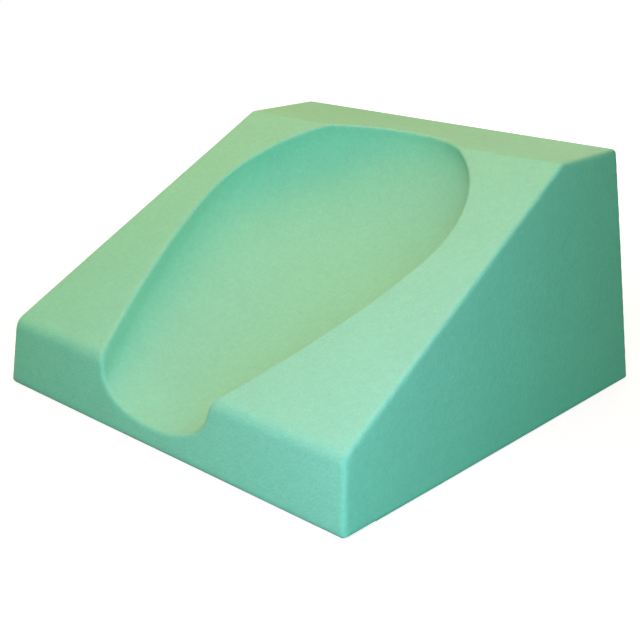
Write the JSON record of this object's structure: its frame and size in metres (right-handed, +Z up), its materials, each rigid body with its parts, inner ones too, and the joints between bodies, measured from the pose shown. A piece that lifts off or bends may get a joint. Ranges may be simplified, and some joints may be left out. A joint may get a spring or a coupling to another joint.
{
  "type": "head rest cushion",
  "caption": "Wedge-shaped moulded foam head rest: a sloping top with a round head scoop that tapers to a neck channel through the low front face; smooth coated skin.",
  "frame": {"origin": "middle of the underside, where the base sheet rests", "axes": "+X across the rest (its width), +Y from the neck end to the crown end, +Z up"},
  "size_m": [0.3516, 0.3476, 0.187],
  "materials": {
    "core_foam": "open-cell moulded polyurethane foam, matt",
    "soft_foam": "slow-recovery polyurethane foam, matt",
    "skin": "coated foam skin, matt, finely grained, mint green",
    "base_rubber": "non-slip sheet, matt, low studs",
    "eyelet": "moulded nylon, satin, green",
    "screen": "perforated nylon disc, matt"
  },
  "bodies": {
    "root": {"foam_core": "core_foam", "head_pad": "soft_foam", "top_skin": "skin", "base_sheet": "base_rubber", "vent_eyelets": "eyelet", "vent_screens": "screen"}
  },
  "joints": []
}
